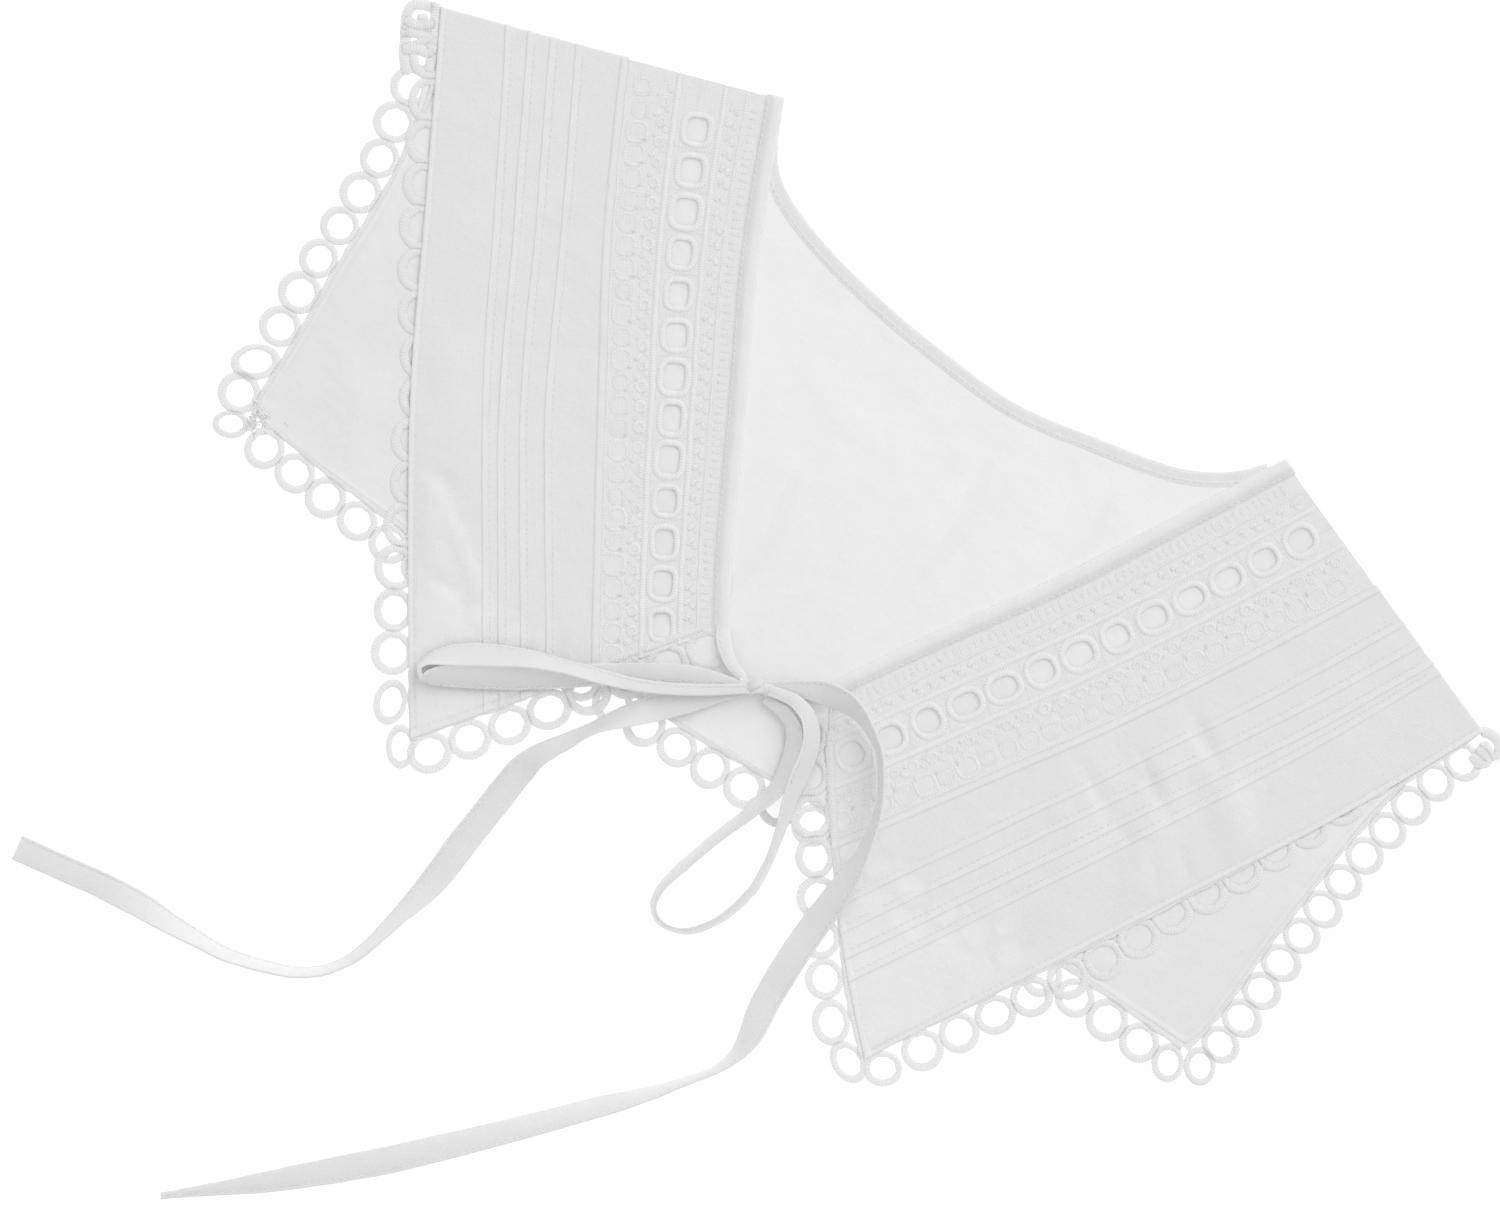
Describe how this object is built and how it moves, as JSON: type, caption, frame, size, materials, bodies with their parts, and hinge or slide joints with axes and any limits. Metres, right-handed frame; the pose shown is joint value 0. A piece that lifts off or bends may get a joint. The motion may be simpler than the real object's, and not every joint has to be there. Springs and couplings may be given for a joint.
{
  "type": "false collar",
  "caption": "Square-backed false collar with pintucked fronts, lace insertion, ring edging and tied ties, laid flat.",
  "frame": {"origin": "on the table under the back panel, on the collar's middle line", "axes": "+X across the shoulders, from the left of the picture to the right; +Y up to the neck; +Z off the table"},
  "size_m": [0.4403, 0.4193, 0.0134],
  "materials": {
    "cotton": "plain woven white cotton, washed and pressed, matt",
    "lace": "white cotton lace, thick satin-stitched cords, matt",
    "tie": "strips of the same white cotton, folded and stitched flat, matt"
  },
  "bodies": {
    "root": {"back_panel": "cotton", "back_neck_binding": "cotton", "front_left_panel": "cotton", "front_left_neck_binding": "cotton", "front_left_lace": "lace", "front_right_panel": "cotton", "front_right_neck_binding": "cotton", "front_right_lace": "lace", "back_left_edging": "lace", "back_lower_edging": "lace", "back_right_edging": "lace", "front_left_side_edging": "lace", "front_left_lower_edging": "lace", "front_right_side_edging": "lace", "front_right_lower_edging": "lace", "tie_knot": "tie", "tie_lead_left": "tie", "tie_lead_right": "tie", "tie_tail_left": "tie", "tie_tail_right": "tie", "tie_loop_left": "tie", "tie_loop_down": "tie"}
  },
  "joints": []
}
